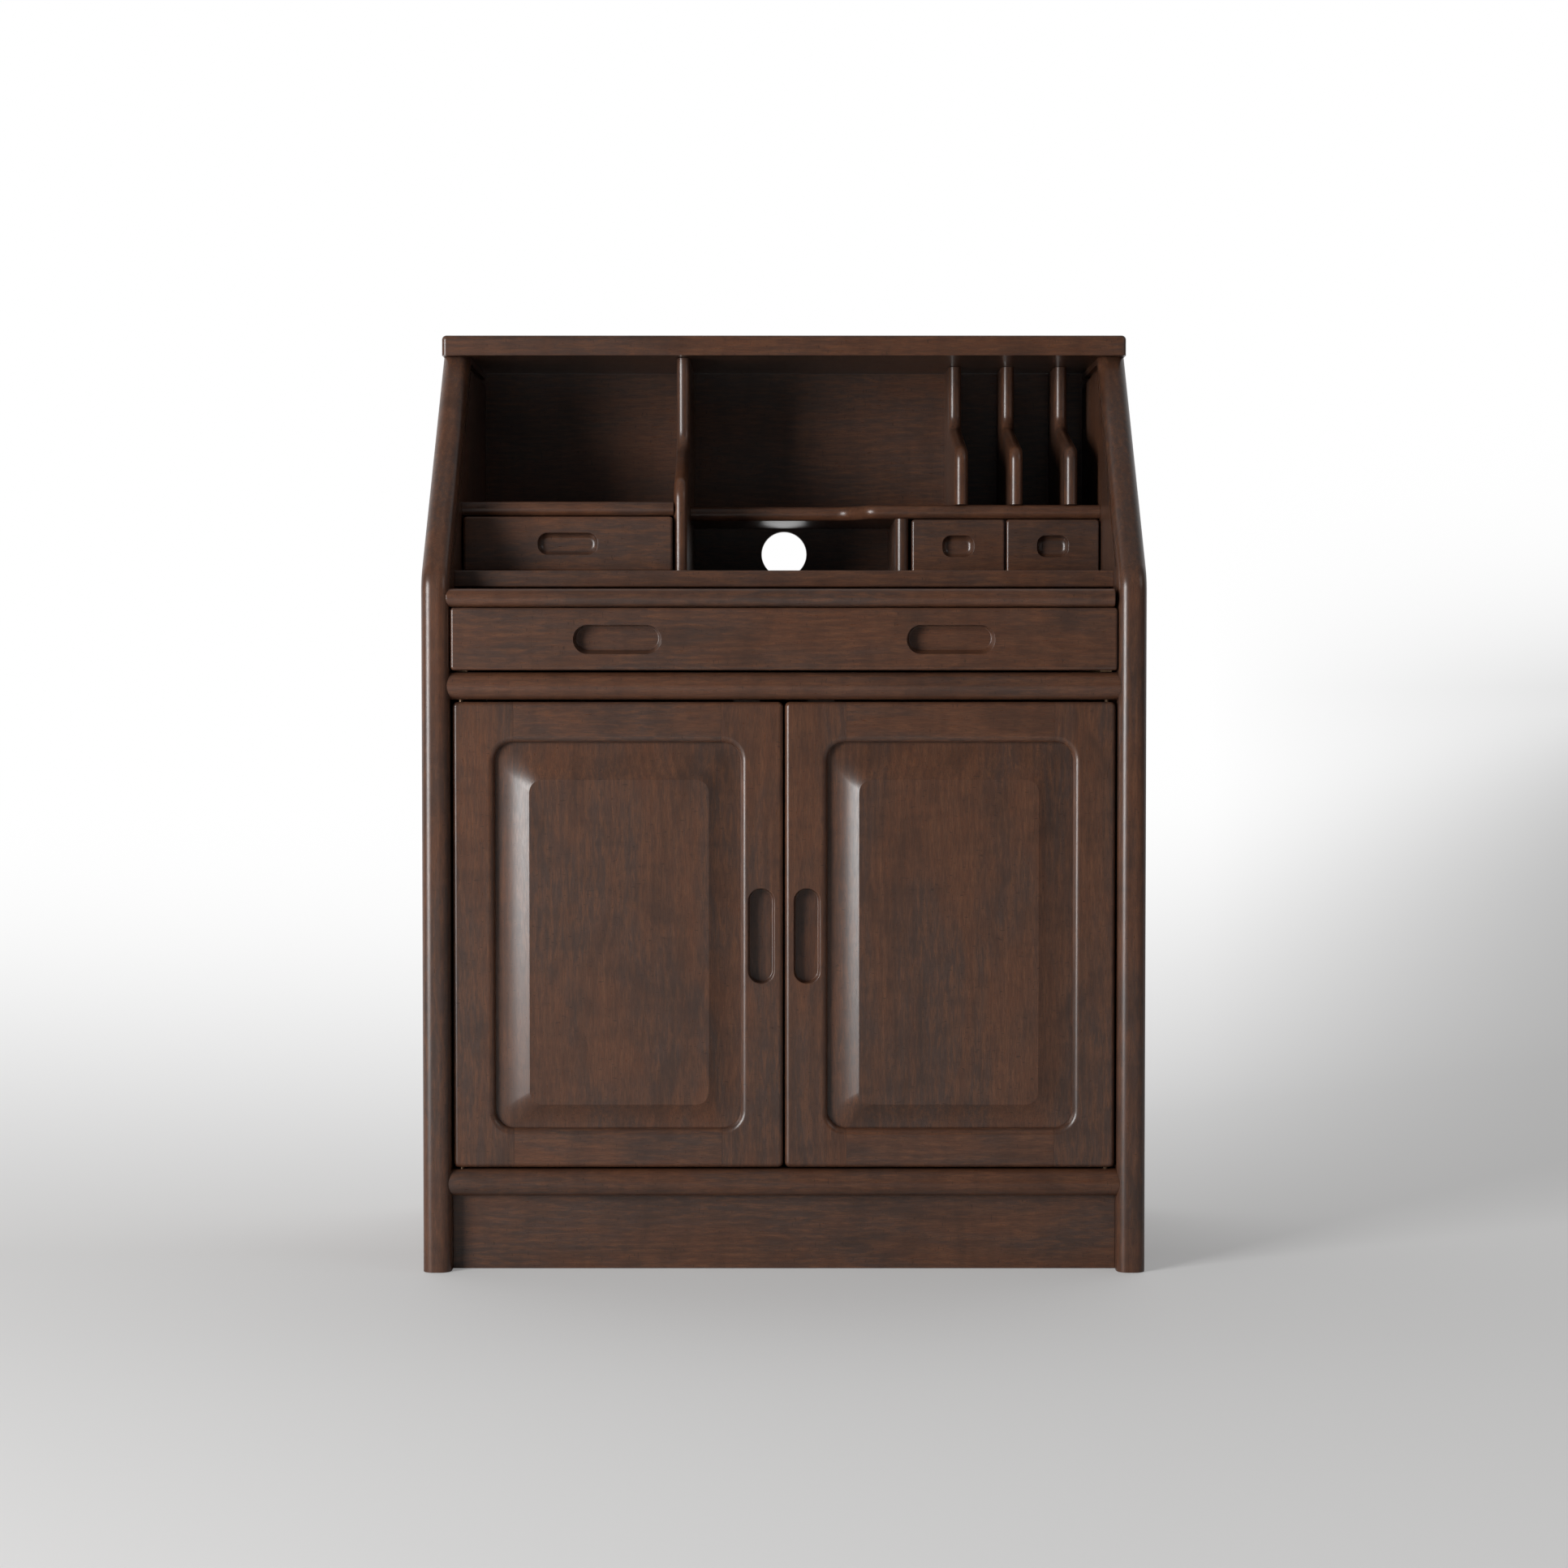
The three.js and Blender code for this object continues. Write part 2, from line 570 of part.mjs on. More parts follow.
function openingRing(y, grow) {
  const { x0, x1, z0, z1, corner } = OPENING;
  return { level: -y, points: rectangle([x0, x1, z0, z1], corner, -grow) };
}

function doorFrame() {
  const limits = [DOOR.meet, DOOR.hinge, DOOR.low, DOOR.high];
  const slab = softSlab(limits, -DOOR.back, -DOOR.front, DOOR.round, FROM_FRONT);
  const window = stack([
    openingRing(DOOR.back + 1, 0),
    openingRing(DOOR.front + THUMB, 0),
    openingRing(DOOR.front + THUMB * 0.45, THUMB * 0.16),
    openingRing(DOOR.front + THUMB * 0.12, THUMB * 0.52),
    openingRing(DOOR.front, THUMB),
    openingRing(DOOR.front - 1, THUMB),
  ], FROM_FRONT);
  const { grow, front, back } = PANEL_GROOVE;
  const groove = box(
    OPENING.x0 - grow, OPENING.x1 + grow, front, back, OPENING.z0 - grow, OPENING.z1 + grow);
  const pivot = rod(PIVOT.x, PIVOT.y, DOOR.low - 1, DOOR.low + PIVOT.grip + GAP, PIVOT.hole);
  const pivotRise = DOOR.high - DOOR.low + 1 - PIVOT.grip - GAP;
  const pull = pullRecess({ ...DOOR_PULL, corner: DOOR_PULL.width / 2 - 0.2 }, DOOR.front);
  return slab.subtract(window).subtract(groove).subtract(pull)
    .subtract(pivot).subtract(pivot.translate([0, 0, pivotRise]));
}

// A flat field raised in a hollow curve from the rim that sits in the frame's groove.
function raisedPanel() {
  const margin = 0.6;
  const outer = {
    x0: OPENING.x0 + margin, x1: OPENING.x1 - margin,
    z0: OPENING.z0 + margin, z1: OPENING.z1 - margin, corner: OPENING.corner - margin,
  };
  const stations = 5;
  const slopes = Array.from({ length: stations + 1 }, (_, i) => {
    const t = i / stations;
    const mix = (key) => outer[key] + (FIELD[key] - outer[key]) * t;
    return {
      level: -(PANEL_EDGE.front - (PANEL_EDGE.front - FIELD.front) * t * t),
      points: rectangle([mix("x0"), mix("x1"), mix("z0"), mix("z1")], mix("corner")),
    };
  });
  const { grow, front, back } = PANEL_EDGE;
  const rim = box(
    OPENING.x0 - grow, OPENING.x1 + grow, front, back, OPENING.z0 - grow, OPENING.z1 + grow);
  return rim.add(stack([openingRing(back, -margin), ...slopes], FROM_FRONT));
}

function addDoors() {
  const frame = doorFrame();
  const seam0 = OPENING.x0 + STILE_SEAM;
  const seam1 = OPENING.x1 - STILE_SEAM;
  const part = (x0, x1, z0, z1) => frame.intersect(box(x0, x1, DOOR.front - 1, DOOR.back + 1, z0, z1));
  const low = DOOR.low - 1;
  const high = DOOR.high + 1;
  const middle = (low + high) / 2;
  addPair("door_meeting_stile", part(DOOR.meet - 1, seam0 - GAP / 2, low, high), FINISHES.walnut);
  addPair("door_hinge_stile", part(seam1 + GAP / 2, DOOR.hinge + 1, low, high), FINISHES.walnut);
  addPair("door_top_rail", part(seam0 + GAP / 2, seam1 - GAP / 2, middle, high), FINISHES.walnut);
  addPair("door_bottom_rail", part(seam0 + GAP / 2, seam1 - GAP / 2, low, middle), FINISHES.walnut);
  addPair("door_panel", raisedPanel(), FINISHES.walnut);

  const lower = rod(PIVOT.x, PIVOT.y, LOWER_RAIL[1] - PIVOT.reach, DOOR.low + PIVOT.grip, PIVOT.radius);
  const upper = rod(PIVOT.x, PIVOT.y, DOOR.high - PIVOT.grip, UPPER_RAIL[0] + PIVOT.reach, PIVOT.radius);
  addPair("door_pivot_lower", lower, FINISHES.brass);
  addPair("door_pivot_upper", upper, FINISHES.brass);
  const strikeFront = DOOR.back + GAP;
  addPair("strike_plate",
    box(STRIKE.x0, STRIKE.x1, strikeFront, strikeFront + STRIKE.thick, STRIKE.z0, STRIKE.z1),
    FINISHES.steel);
}

addCarcass();
addPlinth();
addBack();
addShelf();
addPigeonholes();
SMALL_DRAWERS.forEach(addSmallDrawer);
addWideDrawer();
addWritingSlide();
addDoors();

export default desk;
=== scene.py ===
import math
import random

import bmesh
import bpy
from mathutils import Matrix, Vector


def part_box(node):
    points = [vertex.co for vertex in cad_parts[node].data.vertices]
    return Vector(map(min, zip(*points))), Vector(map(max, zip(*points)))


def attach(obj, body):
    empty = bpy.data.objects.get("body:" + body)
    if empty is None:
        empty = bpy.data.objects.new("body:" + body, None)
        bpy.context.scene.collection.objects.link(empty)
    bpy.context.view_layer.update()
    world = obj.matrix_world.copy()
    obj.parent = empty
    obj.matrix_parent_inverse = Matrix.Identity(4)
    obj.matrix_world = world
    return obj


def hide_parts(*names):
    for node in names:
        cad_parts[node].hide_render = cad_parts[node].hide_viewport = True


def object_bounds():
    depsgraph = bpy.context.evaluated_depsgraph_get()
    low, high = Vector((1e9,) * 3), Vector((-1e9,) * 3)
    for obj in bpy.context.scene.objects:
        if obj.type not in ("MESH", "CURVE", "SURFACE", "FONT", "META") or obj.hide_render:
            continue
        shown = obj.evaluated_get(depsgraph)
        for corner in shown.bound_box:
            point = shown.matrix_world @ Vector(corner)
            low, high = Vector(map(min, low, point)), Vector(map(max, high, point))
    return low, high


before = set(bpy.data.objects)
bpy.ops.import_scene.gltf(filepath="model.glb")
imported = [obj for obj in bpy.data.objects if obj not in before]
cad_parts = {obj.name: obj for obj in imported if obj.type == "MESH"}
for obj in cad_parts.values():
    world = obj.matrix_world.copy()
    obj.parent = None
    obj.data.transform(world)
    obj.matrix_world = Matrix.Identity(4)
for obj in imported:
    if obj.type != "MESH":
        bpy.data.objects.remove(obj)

CAD_BOX = [list(corner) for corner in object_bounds()]

# A writing desk: low two-door cabinet, wide drawer, writing slide and an open hutch.
# Shapes are worked out in millimetres: x to the right, d behind the foremost plane, z up.
MM = 0.001
FRONT = CAD_BOX[0][1]


def extent(node):
    """x0, x1, d0, d1, z0, z1 of a CAD node in millimetres."""
    low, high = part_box(node)
    return (low.x / MM, high.x / MM, (low.y - FRONT) / MM, (high.y - FRONT) / MM,
            low.z / MM, high.z / MM)


# Camera ----------------------------------------------------------------------------------------

LENS = 69.5
SENSOR_WIDTH = 36.0
CAMERA_PLACE = (0.0, -3.4207, 0.6228)
CAMERA_TILT = 1.823  # degrees below level


def add_camera():
    data = bpy.data.cameras.new("photo_camera")
    data.lens = LENS
    data.sensor_width = SENSOR_WIDTH
    camera = bpy.data.objects.new("photo_camera", data)
    camera.location = CAMERA_PLACE
    camera.rotation_euler = (math.radians(90 - CAMERA_TILT), 0.0, 0.0)
    bpy.context.scene.collection.objects.link(camera)
    bpy.context.scene.camera = camera


# Solids ----------------------------------------------------------------------------------------

def from_side(u, v, level):
    return (level, u, v)


def from_front(u, v, level):
    return (u, level, v)


def from_above(u, v, level):
    return (u, v, level)


def stack(rings, basis):
    """Skins equally long rings (level, points) and caps both ends."""
    bm = bmesh.new()
    loops = [[bm.verts.new(basis(u, v, level)) for u, v in points] for level, points in rings]
    count = len(loops[0])
    for lower, upper in zip(loops, loops[1:]):
        for i in range(count):
            j = (i + 1) % count
            bm.faces.new((lower[i], lower[j], upper[j], upper[i]))
    bm.faces.new(loops[0])
    bm.faces.new(loops[-1])
    return tidy(bm)


def tidy(bm):
    bmesh.ops.remove_doubles(bm, verts=bm.verts, dist=0.002)
    bmesh.ops.recalc_face_normals(bm, faces=bm.faces)
    return bm


def trim(bm, axis, limit, keep_above):
    """Cuts the solid square to an axis and closes the cut."""
    point = [0.0, 0.0, 0.0]
    normal = [0.0, 0.0, 0.0]
    point[axis] = limit
    normal[axis] = 1.0
    cut = bmesh.ops.bisect_plane(
        bm, geom=bm.verts[:] + bm.edges[:] + bm.faces[:], dist=0.0005, plane_co=point,
        plane_no=normal, clear_inner=keep_above, clear_outer=not keep_above)
    edges = [item for item in cut["geom_cut"] if isinstance(item, bmesh.types.BMEdge)]
    bmesh.ops.holes_fill(bm, edges=edges, sides=0)
    return tidy(bm)


def trim_to(bm, axis, low, high):
    return trim(trim(bm, axis, low, True), axis, high, False)


def quarter(radius, steps=8):
    """Inset and drop along a quarter round-over, from the upright edge to the face."""
    turns = [math.pi / 2 * i / steps for i in range(steps + 1)]
    return [(radius * (1 - math.cos(a)), radius * (1 - math.sin(a))) for a in turns]


def rectangle(limits, corner, inset=0.0, steps=10):
    u0, u1, v0, v1 = limits
    radius = corner - inset
    centres = ((u1 - corner, v1 - corner), (u0 + corner, v1 - corner),
               (u0 + corner, v0 + corner), (u1 - corner, v0 + corner))
    points = []
    for turn, (cu, cv) in enumerate(centres):
        for i in range(steps + 1):
            angle = (turn + i / steps) * math.pi / 2
            points.append((cu + radius * math.cos(angle), cv + radius * math.sin(angle)))
    return points


def edged_slab(path, far, low, high, rounding, basis):
    """A slab whose long edge follows a path and is rounded on both sides."""
    normals = []
    for i in range(len(path)):
        u0, v0 = path[max(i - 1, 0)]
        u1, v1 = path[min(i + 1, len(path) - 1)]
        length = math.hypot(u1 - u0, v1 - v0)
        normals.append(((v1 - v0) / length, (u0 - u1) / length))

    def ring(inset, level):
        edge = [(u + inset * a, v + inset * b) for (u, v), (a, b) in zip(path, normals)]
        return level, edge + far

    turns = quarter(rounding)
    lower = [ring(inset, low + drop) for inset, drop in reversed(turns)]
    upper = [ring(inset, high - drop) for inset, drop in turns]
    return stack(lower + upper, basis)


def soft_slab(limits, low, high, rounding, basis, corner=None):
    """A slab with the edges of its upper face rounded; the upper face is at high."""
    corner = rounding + 0.5 if corner is None else corner
    rings = [(low, rectangle(limits, corner))]
    sign = 1 if high > low else -1
    for inset, drop in quarter(rounding):
        rings.append((high - sign * drop, rectangle(limits, corner, inset)))
    return stack(rings, basis)


def bar(x0, x1, d0, d1, z0, z1, rounding, back=0.8):
    """A level board: front arrises rounded, back arrises just eased."""
    profile = []
    for cd, cz, radius, start in ((d1 - back, z0 + back, back, 3), (d1 - back, z1 - back, back, 0),
                                  (d0 + rounding, z1 - rounding, rounding, 1),
                                  (d0 + rounding, z0 + rounding, rounding, 2)):
        steps = 10 if radius > 1 else 2
        for i in range(steps + 1):
            angle = (start + i / steps) * math.pi / 2
            profile.append((cd + radius * math.cos(angle), cz + radius * math.sin(angle)))
    return stack([(x0, profile), (x1, profile)], from_side)


def block(x0, x1, d0, d1, z0, z1):
    corners = [(d0, z0), (d1, z0), (d1, z1), (d0, z1)]
    return stack([(x0, corners), (x1, corners)], from_side)


def disc_stack(centre, radii, basis, steps=72):
    cu, cv = centre
    angles = [2 * math.pi * i / steps for i in range(steps)]
    return stack([(level, [(cu + r * math.cos(a), cv + r * math.sin(a)) for a in angles])
                  for level, r in radii], basis)


def s_bend(start, end, radius, along_v):
    """A soft S between two points, leaving and arriving parallel, made of two arcs."""
    run = abs(end[0] - start[0]) if along_v else abs(end[1] - start[1])
    rise = abs(end[1] - start[1]) if along_v else abs(end[0] - start[0])
    low, high = 0.0, math.radians(89)
    for _ in range(50):
        turn = (low + high) / 2
        straight = (rise - 2 * radius * math.sin(turn)) / math.cos(turn)
        reach = 2 * radius * (1 - math.cos(turn)) + straight * math.sin(turn)
        low, high = (turn, high) if reach < run else (low, turn)
    steps = 12
    first = [(radius * (1 - math.cos(turn * i / steps)), radius * math.sin(turn * i / steps))
             for i in range(steps + 1)]
    curve = first + [(run - across, rise - along) for across, along in reversed(first)]
    points = []
    for across, along in curve:
        if along_v:
            points.append((start[0] + math.copysign(across, end[0] - start[0]),
                           start[1] + math.copysign(along, end[1] - start[1])))
        else:
            points.append((start[0] + math.copysign(along, end[0] - start[0]),
                           start[1] + math.copysign(across, end[1] - start[1])))
    return points


def subtract(bm, cutters):
    """Cuts other solids out of one solid."""
    mesh = bpy.data.meshes.new("blank")
    bm.to_mesh(mesh)
    bm.free()
    body = bpy.data.objects.new("blank", mesh)
    bpy.context.scene.collection.objects.link(body)
    tools = []
    for cutter in cutters:
        tool_mesh = bpy.data.meshes.new("cutter")
        cutter.to_mesh(tool_mesh)
        cutter.free()
        tool = bpy.data.objects.new("cutter", tool_mesh)
        bpy.context.scene.collection.objects.link(tool)
        cut = body.modifiers.new("cut", "BOOLEAN")
        cut.operation = "DIFFERENCE"
        cut.solver = "EXACT"
        cut.object = tool
        tools.append(tool)
    bpy.context.view_layer.update()
    result = bmesh.new()
    result.from_object(body, bpy.context.evaluated_depsgraph_get())
    for item in tools + [body]:
        data = item.data
        bpy.data.objects.remove(item)
        bpy.data.meshes.remove(data)
    bmesh.ops.remove_doubles(result, verts=result.verts, dist=0.001)
    return result


# Finished pieces -------------------------------------------------------------------------------

GRAIN_AXES = {"x": (0, 2, 1), "z": (2, 0, 1), "y": (1, 0, 2)}
MATERIALS = {}


def finish_mesh(bm, name, along, sharp):
    """Turns a solid into a smooth-shaded object with its own piece of the timber."""
    for vert in bm.verts:
        x, d, z = vert.co
        vert.co = (x * MM, FRONT + d * MM, z * MM)
    mesh = bpy.data.meshes.new(name)
    bm.to_mesh(mesh)
    bm.free()
    chance = random.Random(name)
    shift = [chance.uniform(-3.0, 3.0), chance.uniform(-0.05, 0.05), chance.uniform(-0.02, 0.05)]
    order = GRAIN_AXES[along]
    grain = mesh.attributes.new("grain", "FLOAT_VECTOR", "POINT")
    for vert, item in zip(mesh.vertices, grain.data):
        item.vector = [vert.co[order[i]] + shift[i] for i in range(3)]
    mesh.polygons.foreach_set("use_smooth", [True] * len(mesh.polygons))
    mesh.set_sharp_from_angle(angle=math.radians(sharp))
    piece = bpy.data.objects.new(name, mesh)
    bpy.context.scene.collection.objects.link(piece)
    weighted = piece.modifiers.new("flat_faces", "WEIGHTED_NORMAL")
    weighted.keep_sharp = True
    weighted.weight = 100
    return piece


def show(node, bm, along, body="carcass", sharp=32.0):
    """Shows a solid in place of a CAD node; the grain runs along the axis named."""
    piece = finish_mesh(bm, "shown_" + node, along, sharp)
    piece.data.materials.append(MATERIALS["walnut"])
    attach(piece, body)
    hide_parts(node)


# Sides -----------------------------------------------------------------------------------------

SIDE_ROUND = 11.4
SLOPE_START = 741.3
SLOPE_RUN = 0.8815
KNEE_RADIUS = 45.0
SLOPE_ANGLE = math.atan(SLOPE_RUN)
TRACK = {"inset": 17.4, "width": 8.0, "top": 989.0, "end": 752.0, "cut": 6.0}
BACK_FACE = extent("upper_back_panel")[2]


def slope_at(z, inset=0.0):
    return (z - SLOPE_START) * SLOPE_RUN + inset / math.cos(SLOPE_ANGLE)


def side_panel(hand):
    node = ("left" if hand < 0 else "right") + "_side_panel"
    x0, x1, d0, d1, z0, z1 = extent(node)
    inner, outer = (x1, x0) if hand < 0 else (x0, x1)
    low, high = min(inner, outer), max(inner, outer)
    tangent = KNEE_RADIUS * math.tan(SLOPE_ANGLE / 2)
    knee = []
    for i in range(17):
        angle = SLOPE_ANGLE * i / 16
        knee.append((KNEE_RADIUS * (1 - math.cos(angle)),
                     SLOPE_START - tangent + KNEE_RADIUS * math.sin(angle)))
    path = [(0.0, -60.0)] + knee + [(slope_at(z1 + 60), z1 + 60)]
    far = [(d1 + 60, z1 + 60), (d1 + 60, -60.0)]
    side = edged_slab(path, far, low, high, SIDE_ROUND, from_side)
    side = trim(trim_to(side, 2, z0, z1), 1, d1, False)

    start = inner - hand
    depth = TRACK["inset"] + TRACK["width"]
    under = TRACK["top"] - TRACK["width"]
    track = [(slope_at(TRACK["end"], TRACK["inset"]), TRACK["end"]),
             (slope_at(TRACK["end"], depth), TRACK["end"]), (slope_at(under, depth), under),
             (BACK_FACE, under), (BACK_FACE, TRACK["top"]),
             (slope_at(TRACK["top"], TRACK["inset"]), TRACK["top"])]
    cutter = stack([(start, track), (inner + hand * TRACK["cut"], track)], from_side)
    show(node, subtract(side, [cutter]), "z")


# Carcass boards --------------------------------------------------------------------------------

SPARE = 30.0  # length that a blank has beyond the place where it is trimmed
TOP_ROUND = 5.0


def top_board():
    x0, x1, d0, d1, z0, z1 = extent("top_board")
    slab = soft_slab((x0, x1, d0, d1 + SPARE), z0, z1, TOP_ROUND, from_above, TOP_ROUND + 0.3)
    show("top_board", trim(slab, 1, d1, False), "x")


def scribed(bm, z0, z1):
    """Trims both ends of a board to the sides' inner faces and their front round-overs."""
    gap = 0.2
    beyond = 500.0
    inner = extent("right_side_panel")[0] - gap
    radius = SIDE_ROUND + gap
    points = [(inner, beyond)]
    points += [(inner + inset, drop - gap) for inset, drop in quarter(radius, 16)]
    points += [(beyond, -gap), (beyond, beyond)]
    mirrored = [(-u, v) for u, v in points]
    levels = (z0 - 1, z1 + 1)
    ends = [stack([(level, outline) for level in levels], from_above)
            for outline in (points, mirrored)]
    return subtract(bm, ends)


def front_rails():
    for node in ("upper_front_rail", "lower_front_rail"):
        _, x1, d0, d1, z0, z1 = extent(node)
        blank = bar(-x1 - SPARE, x1 + SPARE, d0, d1, z0, z1, (z1 - z0) / 2 - 0.4)
        show(node, scribed(blank, z0, z1), "x")


def plain_boards():
    for node, rounding in (("desk_floor", 2.0), ("plinth_board", 0.8)):
        x0, x1, d0, d1, z0, z1 = extent(node)
        show(node, bar(x0, x1, d0, d1, z0, z1, rounding), "x")


CABLE_HOLE = {"radius": 26.6, "height": 781.8, "ease": 1.2}


def back_panel():
    x0, x1, d0, d1, z0, z1 = extent("upper_back_panel")
    radius, ease = CABLE_HOLE["radius"], CABLE_HOLE["ease"]
    wide = radius + ease
    profile = [(d0 - 2, wide), (d0, wide), (d0 + ease * 0.3, radius + ease * 0.3),
               (d0 + ease, radius), (d1 - ease, radius), (d1, wide), (d1 + 2, wide)]
    hole = disc_stack((0.0, CABLE_HOLE["height"]), profile, from_front)
    snug = 0.28  # closes the fitting gap, which would let light through
    panel = subtract(block(x0 - snug, x1 + snug, d0, d1, z0, z1 + snug), [hole])
    show("upper_back_panel", panel, "x")


# Pigeonholes -----------------------------------------------------------------------------------

DIVIDER_ROUND = 7.2
SHELF_ROUND = 7.8
LEFT_BEND = {"lower": 134.0, "upper": 232.0, "bend0": 829.0, "bend1": 915.0, "radius": 30.0}
LETTER_BEND = {"lower": 197.0, "upper": 330.0, "bend0": 878.0, "bend1": 940.0, "radius": 18.0}
SHELF_JOG = {"near": 197.0, "far": 235.0, "jog0": 59.0, "jog1": 105.0, "radius": 20.0}


def upright(node, bend=None):
    x0, x1, d0, d1, z0, z1 = extent(node)
    if bend:
        path = [(bend["lower"], z0 - SPARE)]
        path += s_bend((bend["lower"], bend["bend0"]), (bend["upper"], bend["bend1"]),
                       bend["radius"], True)
        path += [(bend["upper"], z1 + SPARE)]
    else:
        path = [(d0, z0 - SPARE), (d0, z1 + SPARE)]
    far = [(d1 + SPARE, z1 + SPARE), (d1 + SPARE, z0 - SPARE)]
    blank = edged_slab(path, far, x0, x1, DIVIDER_ROUND, from_side)
    show(node, trim(trim_to(blank, 2, z0, z1), 1, d1, False), "z")


def pigeonholes():
    upright("left_divider", LEFT_BEND)
    for i in (1, 2, 3):
        upright(f"letter_divider_{i}", LETTER_BEND)
    upright("short_divider")
    x0, x1, d0, d1, z0, z1 = extent("left_shelf")
    show("left_shelf", bar(x0, x1, d0, d1, z0, z1, SHELF_ROUND), "x")

    x0, x1, d0, d1, z0, z1 = extent("right_shelf")
    near, far = SHELF_JOG["near"], SHELF_JOG["far"]
    path = [(x1 + 60, near)]
    path += s_bend((SHELF_JOG["jog1"], near), (SHELF_JOG["jog0"], far), SHELF_JOG["radius"], False)
    path += [(x0 - 60, far)]
    corners = [(x0 - 60, d1 + 60), (x1 + 60, d1 + 60)]
    blank = edged_slab(path, corners, z0, z1, SHELF_ROUND, from_above)
    show("right_shelf", trim(trim_to(blank, 0, x0, x1), 1, d1, False), "x")


# Drawers and writing slide ---------------------------------------------------------------------

DRAWER_ROUND = 3.0
WIDE_PULL_REACH = 177.0
WIDE_PULL = {"z": 673.9, "width": 93.2, "height": 30.7, "depth": 14.0}
SMALL_PULL = {"z": 781.0, "height": 24.0, "depth": 9.0, "slope": (1.5, 2.0, 1.5), "soft": 5.5}


def pull(x, z, width, height, depth, face, corner=None, slope=(2.5, 4.0, 1.0), soft=1.0,
         rim=0.5):
    """Cutter for a round-ended finger recess: eased rim, sloping walls, eased floor edge."""
    side, under, over = slope
    corner = min(width, height) / 2 - 0.2 if corner is None else corner

    def ring(level, share, inset=0.0):
        limits = (x - width / 2 + side * share + inset, x + width / 2 - side * share - inset,
                  z - height / 2 + under * share + inset, z + height / 2 - over * share - inset)
        return level, rectangle(limits, corner - side * share - inset)

    rings = [ring(face - 2, 0.0, -rim)]
    rings += [ring(face + fall, 0.0, -grow) for fall, grow in quarter(rim, 4)]
    for inset, drop in quarter(soft, 4):
        rings.append(ring(face + depth - drop, 1 - drop / depth, inset))
    return stack(rings, from_front)


def drawer_front(node, body, pulls):
    x0, x1, d0, d1, z0, z1 = extent(node)
    face = soft_slab((x0, x1, z0, z1), d1, d0, DRAWER_ROUND, from_front)
    show(node, subtract(face, [pull(face=d0, **item) for item in pulls]), "x", body)


def drawers():
    wide = [{"x": x, **WIDE_PULL} for x in (-WIDE_PULL_REACH, WIDE_PULL_REACH)]
    drawer_front("wide_drawer_front", "wide_drawer", wide)
    for name, width, corner in (("left", 66.0, 11.0), ("middle", 35.0, 9.5), ("right", 35.0, 9.5)):
        node = f"{name}_drawer_front"
        x0, x1 = extent(node)[:2]
        small = {"x": (x0 + x1) / 2, "width": width, "corner": corner, **SMALL_PULL}
        drawer_front(node, f"{name}_drawer", [small])


def eased_ends(bm, width):
    """Rounds the outline of a bar's two ends."""
    ends = [edge for edge in bm.edges
            if any(len(face.verts) > 4 for face in edge.link_faces)]
    bmesh.ops.bevel(bm, geom=ends, offset=width, segments=5, profile=0.5, affect="EDGES",
                    clamp_overlap=True)
    return tidy(bm)


def writing_slide():
    x0, x1, d0, d1, z0, z1 = extent("slide_lipping")
    lip = bar(x0, x1, d0, d1, z0, z1, (z1 - z0) / 2 - 0.6)
    show("slide_lipping", scribed(eased_ends(lip, 2.5), z0, z1), "x", "writing_slide")
    x0, x1, d0, d1, z0, z1 = extent("slide_board")
    show("slide_board", bar(x0, x1, d0, d1, z0, z1, 0.8), "x", "writing_slide")


# Doors, worked out right-handed and mirrored for the left ---------------------------------------

OPENING = {"x0": 46.5, "x1": 308.0, "z0": 152.3, "z1": 564.4, "corner": 19.0}
FIELD = {"x0": 80.0, "x1": 271.3, "z0": 177.8, "z1": 524.8, "corner": 14.0, "front": 13.4}
DOOR_ROUND = 5.0
THUMB = 7.0
STILE_SEAM = 20.0
SEAM = 0.06  # half of the fine line between a stile and a rail
PANEL_RIM = 21.4
DOOR_PULL = {"x": 24.4, "z": 358.3, "width": 27.2, "height": 101.0, "depth": 14.0,
             "slope": (0.8, 0.8, 0.8), "soft": 1.4, "rim": 1.2}


def opening_ring(level, grow):
    limits = (OPENING["x0"], OPENING["x1"], OPENING["z0"], OPENING["z1"])
    return level, rectangle(limits, OPENING["corner"], -grow)


def door_frame(limits, front, back):
    """The whole frame as one ring-shaped solid: outer round-over, face, thumbnail, back."""
    outer = [(back, rectangle(limits, DOOR_ROUND + 0.5))]
    for inset, drop in quarter(DOOR_ROUND):
        outer.append((front + drop, rectangle(limits, DOOR_ROUND + 0.5, inset)))
    thumb = [(front + THUMB * (1 - math.cos(a)), THUMB * (1 - math.sin(a)))
             for a in [math.pi / 2 * i / 8 for i in range(9)]]
    inner = [opening_ring(level, grow) for level, grow in thumb] + [opening_ring(back, 0.0)]
    rings = outer + inner
    bm = bmesh.new()
    loops = [[bm.verts.new(from_front(u, v, level)) for u, v in points] for level, points in rings]
    loops.append(loops[0])
    count = len(loops[0])
    for first, second in zip(loops, loops[1:]):
        for i in range(count):
            j = (i + 1) % count
            bm.faces.new((first[i], first[j], second[j], second[i]))
    return tidy(bm)


